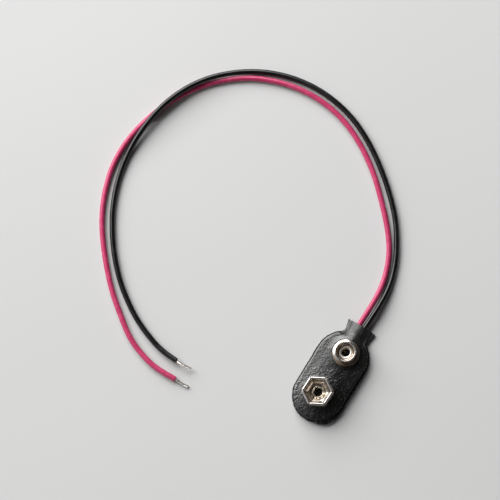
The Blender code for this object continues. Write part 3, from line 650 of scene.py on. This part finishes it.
# Fine pressed wrinkles across the left side of the middle, and pulled folds beside the hump
wrinkle_step = 0.62
crossing = np.exp(-((x + 3.6) / 2.6) ** 2 - ((y - 1.5) / 4.5) ** 2)
wrinkle_line = y * 0.94 + x * 0.34 + 0.35 * ripple(x, y, 4.0, 8)
z = z + 0.012 * crossing * np.sin(wrinkle_line * math.tau / wrinkle_step)
pulled = in_neck * smooth_step((3.3 - np.abs(x)) / 0.6) * smooth_step((np.abs(x) - 0.6) / 0.8)
z = z + 0.035 * pulled * ripple(x * 2.0, y * 0.6, 1.4, 21)
# Holes for the rivets: the sheet is opened from each contact's centre out to the hole, and what lies between
# the inner and the outer radius is pushed outwards in proportion
inner, outer = 0.8, 2.4
for centre in (stud_centre, socket_centre):
    dx, dy = x - centre[0], y - centre[1]
    away = np.hypot(dx, dy)
    moved = np.where(away < outer, rivet_hole + (away - inner) * (outer - rivet_hole) / (outer - inner), away)
    moved = np.where(away < inner, 0.0, moved)
    factor = np.where(away > 1e-6, moved / np.maximum(away, 1e-6), 0.0)
    x, y = centre[0] + dx * factor, centre[1] + dy * factor
keep = np.ones(x.size, bool)
for centre in (stud_centre, socket_centre):
    keep &= np.hypot(x - centre[0], y - centre[1]).ravel() > 0.5 * rivet_hole
front_skin = vinyl_sheet("front_skin", x, y, z, keep, front_thickness, 0.03)
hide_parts("front_cover")

flat_insets = np.array([0.0, 0.1, 0.25, 0.5, 0.8, 1.2])
x, y, _ = cover_plan(flat_insets, np.linspace(0, 1, 22), (40, 36, 26, 9, 12), 11)
back_skin = vinyl_sheet("back_skin", x, y, np.full_like(x, back_top), np.ones(x.size, bool), back_thickness,
                        0.05)
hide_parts("back_cover")

# Snap contacts. Both are drawn from thin nickel-plated sheet: the stud is turned, with a dished foot, a
# necked and bulged wall and a sunk bowl; the socket is a six-sided cup, slit at its corners into petals with
# rolled lips. Grime has stayed in the bowl and round the foot, where no battery rubs it off; the stain colour
# is also set off to one side as painted shade, on the walls and foot that face away from the lamp.
metal = 0.25
contact_base = 3.55
stud_height = 2.95
socket_height = 3.1

# Grime and painted shade on plate: stain within reach of a centre while it is under the ceiling, more beyond
# the span kept bright round a second centre, cloudy in both places; and fine rubbing marks along the stretch.
# Where the centres are set off to one side, the stain stands for shade on the side away from the lamp.
grime_and_shade, inlet, outlet = new_group(
    "grime_and_shade", [("Place", "Vector", None), ("Centre", "Vector", (0.0, 0.0, 0.0)), ("Reach", "Float", 0.003),
                 ("Stretch", "Vector", (5200.0, 5200.0, 500.0)), ("Clean", "Vector", (0.0, 0.0, 0.0)),
                 ("Span", "Float", 1.0), ("Ceiling", "Float", 1.0)],
    [("Tarnish", "Float"), ("Rough", "Float"), ("Height", "Float")])
place = inlet.outputs["Place"]


def plan_distance(tree, point, centre, unit):
    """Distance from a vertical axis through the centre, as a multiple of the unit."""
    apart = put(tree, "VectorMath", {0: point, 1: centre}, operation="SUBTRACT")
    level = put(tree, "VectorMath", {0: apart.outputs[0], 1: (1.0, 1.0, 0.0)}, operation="MULTIPLY")
    length = put(tree, "VectorMath", {0: level.outputs[0]}, operation="LENGTH")
    return maths(tree, "DIVIDE", length.outputs["Value"], unit)


from_centre = plan_distance(grime_and_shade, place, inlet.outputs["Centre"], inlet.outputs["Reach"])
near = rescale(grime_and_shade, from_centre, 0.86, 1.0, 1.0, 0.0, smooth=True)
height = put(grime_and_shade, "SeparateXYZ", {0: place}).outputs["Z"]
under = maths(grime_and_shade, "SUBTRACT", inlet.outputs["Ceiling"], height)
sunk = maths(grime_and_shade, "MULTIPLY", under, 4000.0, clamp=True)
inside = maths(grime_and_shade, "MULTIPLY", near, sunk)
from_bright_centre = plan_distance(grime_and_shade, place, inlet.outputs["Clean"], inlet.outputs["Span"])
outside = rescale(grime_and_shade, from_bright_centre, 1.0, 1.12, smooth=True)
patchy = rescale(grime_and_shade, noise(grime_and_shade, place, 700.0, 4.0), 0.3, 0.75)
weigh = maths(grime_and_shade, "MULTIPLY_ADD", patchy, 0.5, 0.5)
either = maths(grime_and_shade, "MAXIMUM", inside, outside)
drawn = put(grime_and_shade, "Mapping", {"Vector": place, "Scale": inlet.outputs["Stretch"]})
streaks = noise(grime_and_shade, drawn.outputs[0], 1.0, 3.0)
send(grime_and_shade, outlet, Tarnish=maths(grime_and_shade, "MULTIPLY", either, weigh, clamp=True),
     Rough=rescale(grime_and_shade, streaks, 0.3, 0.7), Height=streaks)


def plated_finish(name, bright, stain_and_shade, gloss, dulled, centre, reach, marks, stretch=(5200.0, 5200.0, 500.0),
                  bright_centre=(0.0, 0.0), span=1000.0, ceiling=1000.0):
    """Plated metal: bright where it is rubbed, in the stain colour and duller where it is handled and grime
    lies, and where the off-centre mask paints shade, with marks of the given depth. Lengths are in
    millimetres."""
    finish, tree, shader = new_finish(name, Metallic=1.0)
    wear_and_shade = use_group(tree, grime_and_shade, Place=own_place(tree), Centre=(centre[0] * MM, centre[1] * MM, 0.0),
                     Reach=reach * MM, Stretch=stretch, Clean=(bright_centre[0] * MM, bright_centre[1] * MM, 0.0),
                     Span=span * MM, Ceiling=ceiling * MM)
    rough = maths(tree, "MULTIPLY_ADD", wear_and_shade["Rough"], 0.08, gloss)
    # The stain colour marks grime, and painted shade where the centres are set off to one side.
    send(tree, shader, Base_Color=colour_mix(tree, wear_and_shade["Tarnish"], bright, stain_and_shade),
         Roughness=maths(tree, "MULTIPLY_ADD", wear_and_shade["Tarnish"], dulled, rough),
         Normal=bump_of(tree, wear_and_shade["Height"], marks * MM, 0.5))
    return finish


# Painted shade: the bowl's stain centre is set off towards the lamp and the bright span's centre further
# towards it, so the bowl wall facing away from the lamp and the foot and outer wall away from the lamp take
# the stain colour as shade; the grime in the bowl and round the foot is real.
contact_plate = plated_finish("contact_plate", bright=(0.71, 0.675, 0.63), stain_and_shade=(0.25, 0.16, 0.09),
                              gloss=0.18, dulled=0.2, centre=stud_centre + (-0.08, 0.46), reach=2.55,
                              marks=0.02, stretch=(2600.0, 2600.0, 1500.0), bright_centre=stud_centre + (-0.5, 0.42),
                              span=3.0, ceiling=contact_base + stud_height - 0.15)


def sheet_outline(centreline, thickness, count):
    """Closed outline of a bent strip with round ends: the smooth centreline moved half the thickness to each
    side, joined by a half circle of points at both ends."""
    line = through(centreline, count)
    step = np.gradient(line, axis=0)
    step /= np.linalg.norm(step, axis=1)[:, None]
    side = np.stack([-step[:, 1], step[:, 0]], axis=1) * thickness / 2
    bow = np.radians([60, 30, 0, -30, -60])[:, None]
    far = line[-1] + side[-1] * np.sin(bow) + step[-1] * np.cos(bow) * thickness / 2
    near = line[0] - side[0] * np.sin(bow) - step[0] * np.cos(bow) * thickness / 2
    return np.vstack([line + side, far, (line - side)[::-1], near])


def lathe(name, outline, centre, base, steps, finish):
    """Turn a closed (radius, height) outline about a vertical axis through the centre, as rings of quads."""
    turn = np.linspace(0, math.tau, steps, endpoint=False)
    radius, height = outline[:, 0][:, None], outline[:, 1][:, None]
    px = radius * np.cos(turn)
    py = radius * np.sin(turn)
    points = np.stack([centre[0] + px, centre[1] + py, np.broadcast_to(base + height, px.shape)], axis=-1)
    count = len(outline)
    index = np.arange(count * steps).reshape(count, steps)
    down, round_ = np.roll(index, -1, axis=0), np.roll(index, -1, axis=1)
    faces = np.stack([index, down, np.roll(down, -1, axis=1), round_], axis=-1).reshape(-1, 4)
    return add_piece(name, points.reshape(-1, 3), faces.tolist(), finish)


half = metal / 2
bowl_floor = stud_height - 1.6 - half
bulge = 2.86 - half
top = stud_height - half
stud_neck = 2.5
stud_line = [
    (rivet_hole, bowl_floor), (1.6, bowl_floor + 0.05), (1.8, bowl_floor + 0.13), (2.0, bowl_floor + 0.22),
    (2.16, bowl_floor + 0.33), (2.27, bowl_floor + 0.52), (2.34, bowl_floor + 0.82), (2.39, bowl_floor + 1.2),
    (2.43, top - 0.18), (2.5, top - 0.05), (2.62, top - 0.02), (bulge - 0.02, top - 0.2), (bulge, top - 0.55),
    (bulge - 0.06, top - 0.9), (stud_neck + 0.06, 1.35), (stud_neck, 1.1), (stud_neck, 0.8),
    (stud_neck + 0.12, 0.56), (stud_neck + 0.36, 0.44), (stud_neck + 0.66, 0.32), (stud_foot - half, 0.18)]
stud = lathe("stud_snap", sheet_outline(stud_line, metal, 110), stud_centre, contact_base, 144, contact_plate)
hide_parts("stud_contact")

lip_roll = 0.26
roll_z = socket_height - half - lip_roll
lip = 3.77 - half
socket_line = [(rivet_hole, half), (1.8, half), (2.05, 0.2), (2.35, 0.4), (2.65, 0.62), (2.87, 0.86),
               (2.98, 1.16), (3.04, 1.6), (3.07, 2.1), (3.1, 2.58)]
socket_line += [(lip - lip_roll + lip_roll * math.cos(a), roll_z + lip_roll * math.sin(a))
                for a in np.radians((165, 130, 95, 60, 25, -10))]
socket_line += [(lip, 2.35), (lip + 0.02, 1.8), (lip + 0.04, 1.0), (lip + 0.07, 0.4), (lip + 0.1, 0.16)]
slit = 0.2
slit_root = 1.75
socket_turn = math.radians(91.6 - 3.4)


def plate_sheet(name, grid, faces, thickness, edge_round, finish):
    """A piece of plated sheet from a grid of its middle surface, half the thickness to each side."""
    mesh = bpy.data.meshes.new(name)
    mesh.from_pydata((grid.reshape(-1, 3) * MM).tolist(), [], faces.tolist())
    mesh.polygons.foreach_set("use_smooth", [True] * len(mesh.polygons))
    return hang_sheet(name, mesh, finish, thickness, 0.0, edge_round, 50)


def petal_cup(name, finish):
    """The cup's middle surface on a grid (along the section, round the six sides): a circle at the rivet hole
    blends into a hexagon at the floor's edge; past the slits' root the corner strips are left out, so six
    petals stand apart, each turned out by its own small amount. Thickness comes last."""
    line = through(socket_line, 130)
    across = 22
    half_petal = math.radians(30)
    flat, height = line[:, 0], line[:, 1]
    hexagon = smooth_step((flat - rivet_hole - 0.1) / 1.0)
    climb = np.clip((height - slit_root) / (socket_height - slit_root), 0, 1)
    columns, sectors = [], []
    for k in range(6):
        middle = socket_turn + math.radians(30 + 60 * k)
        along_side = np.linspace(-1, 1, across)
        lean = 0.03 * math.sin(k * 2.7 + 0.6)
        reach = flat + lean * climb ** 2
        half_side = reach * math.tan(half_petal) - slit / 2
        out = np.array([math.cos(middle), math.sin(middle)])
        beside = np.array([-math.sin(middle), math.cos(middle)])
        straight = reach[:, None, None] * out + (half_side[:, None] * along_side)[..., None] * beside
        angle = middle + half_petal * along_side * 0.96
        round_ = flat[:, None, None] * np.stack([np.cos(angle), np.sin(angle)], axis=-1)
        blend = hexagon[:, None, None]
        plan = round_ * (1 - blend) + straight * blend
        sag = -0.02 * (along_side ** 2)[None, :] * climb[:, None]
        columns.append(np.dstack([plan, height[:, None] + sag]))
        sectors.append(np.full(across, k))
    grid = np.concatenate(columns, axis=1) + np.array([*socket_centre, contact_base])
    sector = np.concatenate(sectors)
    rows, total, _ = grid.shape
    faces = round_quads(rows, total)
    corner = sector != np.roll(sector, -1)
    above = (np.arange(1, rows) > np.argmax(line[:, 1] > slit_root))[:, None] & corner[None, :]
    faces = faces[~above]
    return plate_sheet(name, grid, faces, metal, 0.05, finish)


# Painted shade: the socket's stain is centred off towards the shaded side, so the inner wall on the lamp's
# side, which faces away from the lamp, takes the stain colour as shade and the opposite wall stays bright;
# part of the stain is real tarnish.
shaded_side = np.array([-0.97, 0.24])
socket_plate = plated_finish("socket_plate", bright=(0.66, 0.62, 0.585), stain_and_shade=(0.60, 0.50, 0.38),
                             gloss=0.26, dulled=0.14, centre=socket_centre + 0.6 * shaded_side, reach=2.9,
                             marks=0.012, stretch=(700.0, 700.0, 5200.0))
socket = petal_cup("socket_snap", socket_plate)
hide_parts("socket_contact")

# Rivets. A thin plated eyelet goes through each contact, the cover, the board and the lug; its head is
# rolled out on the contact's floor and its foot clinched under the lug. The socket's head split into five
# when it was rolled.
rivet_metal = 0.18
tube_line = 1.12 + rivet_metal / 2
lug_bottom = 1.8
clinch = 1.95


def rivet_section(head_line):
    """Centreline of an eyelet: clinched foot and tube, then the given line of its rolled head."""
    foot_z = lug_bottom - 0.1 - rivet_metal / 2
    outer_wall = tube_line + rivet_metal
    line = [(clinch - 0.05, foot_z), ((clinch + outer_wall) / 2, foot_z), (outer_wall, foot_z),
            (tube_line, foot_z + rivet_metal), (tube_line, (foot_z + head_line[0][1]) / 2)]
    return line + head_line


rivet_plate = plated_finish("rivet_plate", bright=(0.88, 0.84, 0.77), stain_and_shade=(0.68, 0.59, 0.46), gloss=0.12,
                            dulled=0.14, centre=socket_centre, reach=2.1, marks=0.004)
ring_plate = plated_finish("ring_plate", bright=(0.92, 0.87, 0.80), stain_and_shade=(0.74, 0.65, 0.53), gloss=0.4,
                           dulled=0.1, centre=stud_centre, reach=1.3, marks=0.004)
stud_seat = contact_base + bowl_floor + half
ring_head = [(tube_line, stud_seat - 0.25), (1.225, stud_seat - 0.03), (1.28, stud_seat + 0.05),
             (1.38, stud_seat + 0.11), (1.5, stud_seat + 0.15), (1.62, stud_seat + 0.15)]
stud_eyelet = lathe("stud_eyelet", sheet_outline(rivet_section(ring_head), rivet_metal, 90), stud_centre,
                    0.0, 112, ring_plate)
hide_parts("stud_rivet")


def split_eyelet(name, section, tear_height, tears, finish):
    """A section turned round the socket's axis whose head is torn into leaves at the given angles: above the
    tear height each leaf draws in from its torn sides, curls by its own amount and droops towards them."""
    line = through(section, 80)
    per = 30
    top_row = int(np.argmax(line[:, 1] > tear_height))
    past = np.clip((np.arange(len(line)) - top_row) / (len(line) - top_row), 0, 1)
    strips = []
    draw = np.random.default_rng(4)
    for start, end in zip(tears, tears[1:] + [tears[0] + 360]):
        middle, reach = math.radians((start + end) / 2), math.radians((end - start) / 2)
        spread = np.linspace(-1, 1, per)
        gap = 0.008 + draw.uniform(0.06, 0.11) * past
        angle = middle + spread[None, :] * (reach - gap[:, None])
        curl = draw.uniform(-0.08, 0.05) * past ** 2
        lift = draw.uniform(-0.01, 0.07) * past ** 2
        droop = -0.04 * spread[None, :] ** 4 * past[:, None]
        radius = (line[:, 0] + curl)[:, None] - 0.12 * (spread ** 6)[None, :] * (past ** 2)[:, None]
        strips.append(np.stack([radius * np.cos(angle), radius * np.sin(angle),
                                (line[:, 1] + lift)[:, None] + droop], axis=-1))
    grid = np.concatenate(strips, axis=1) + np.array([*socket_centre, 0.0])
    rows, total, _ = grid.shape
    faces = round_quads(rows, total)
    border = (np.arange(total) % per == per - 1)[None, :]
    above = (np.arange(1, rows) > top_row)[:, None]
    return plate_sheet(name, grid, faces[~(border & above)], rivet_metal, 0.03, finish)


socket_seat = contact_base + metal
leaf_head = [(tube_line, socket_seat + 0.15), (1.25, socket_seat + 0.31), (1.37, socket_seat + 0.4),
             (1.52, socket_seat + 0.37), (1.7, socket_seat + 0.25), (1.88, socket_seat + 0.12)]
socket_eyelet = split_eyelet("socket_eyelet", rivet_section(leaf_head), socket_seat + 0.33,
                             [-70, -3, 92, 156, 238], rivet_plate)
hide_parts("socket_rivet")

# Works inside the cover. A pressed fibre strip carries both contacts; under it a tinned brass lug sits on
# each rivet, and the bare end of each lead is soldered to the lug's tab. None of it shows while the cover
# is shut.


def dress(finish, *nodes):
    """Give CAD nodes the finish in all their slots."""
    for node in nodes:
        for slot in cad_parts[node].material_slots:
            slot.material = finish


fibre, tree, shader = new_finish("pressed_fibre", Roughness=0.85)
laid = put(tree, "Mapping", {"Vector": own_place(tree), "Scale": (900.0, 350.0, 2500.0)})
strand = noise(tree, laid.outputs[0], 1.0, 6.0)
browns = ramp(tree, strand, [(0.3, (0.24, 0.15, 0.07)), (0.5, (0.36, 0.24, 0.13)), (0.7, (0.47, 0.34, 0.20))])
send(tree, shader, Base_Color=browns, Normal=bump_of(tree, strand, 0.00003, 0.6))
dress(fibre, "carrier_board")

lug_brass = plated_finish("tinned_brass", bright=(0.80, 0.78, 0.72), stain_and_shade=(0.78, 0.62, 0.32), gloss=0.3,
                          dulled=0.1, centre=(0.0, 0.0), reach=9.0, marks=0.02)
dress(lug_brass, "stud_lug", "socket_lug")
dress(tinned, "red_core_inner", "black_core_inner")

solder, tree, shader = new_finish("solder_blob", Metallic=1.0)
skin = noise(tree, own_place(tree), 2200.0, 3.0)
send(tree, shader, Base_Color=ramp(tree, skin, [(0.35, (0.58, 0.59, 0.60)), (0.65, (0.80, 0.81, 0.82))]),
     Roughness=rescale(tree, skin, 0.0, 1.0, 0.18, 0.45), Normal=bump_of(tree, skin, 0.00003, 0.5))
dress(solder, "red_solder", "black_solder")
